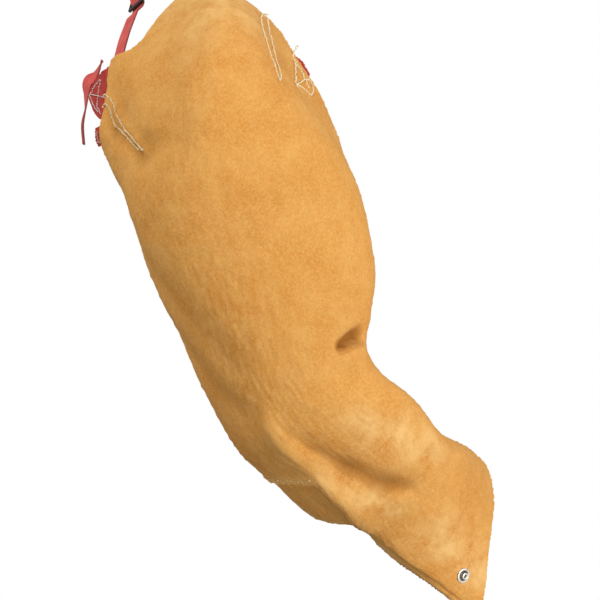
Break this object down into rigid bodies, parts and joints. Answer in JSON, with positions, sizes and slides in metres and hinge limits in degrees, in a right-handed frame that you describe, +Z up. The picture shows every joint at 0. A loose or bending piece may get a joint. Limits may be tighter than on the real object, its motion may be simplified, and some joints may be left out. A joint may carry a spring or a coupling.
{
  "type": "leather welding sleeve",
  "caption": "Right-arm welding sleeve of golden suede leather with a shoulder cap, bent elbow, open cuff with a press stud, and red leather patches and strap ends at the cap's rim.",
  "frame": {"origin": "on the inside face of the top of the shoulder cap, where the sleeve sits on a shoulder", "axes": "+X to the front of the sleeve, +Y to its inner side, +Z up along the hanging upper arm"},
  "size_m": [0.3636, 0.2654, 0.5617],
  "materials": {
    "suede_leather": "matt napped suede",
    "red_leather": "smooth, semi-matt",
    "black_plastic": "moulded, semi-matt",
    "nickel": "plated, polished"
  },
  "bodies": {
    "root": {"sleeve_body": "suede_leather", "forearm_under_panel": "suede_leather", "rear_patch": "red_leather", "underarm_tab": "red_leather", "front_patch": "red_leather", "neck_strap": "red_leather", "back_strap": "red_leather", "strap_slider": "black_plastic", "cuff_snap": "nickel"}
  },
  "joints": []
}
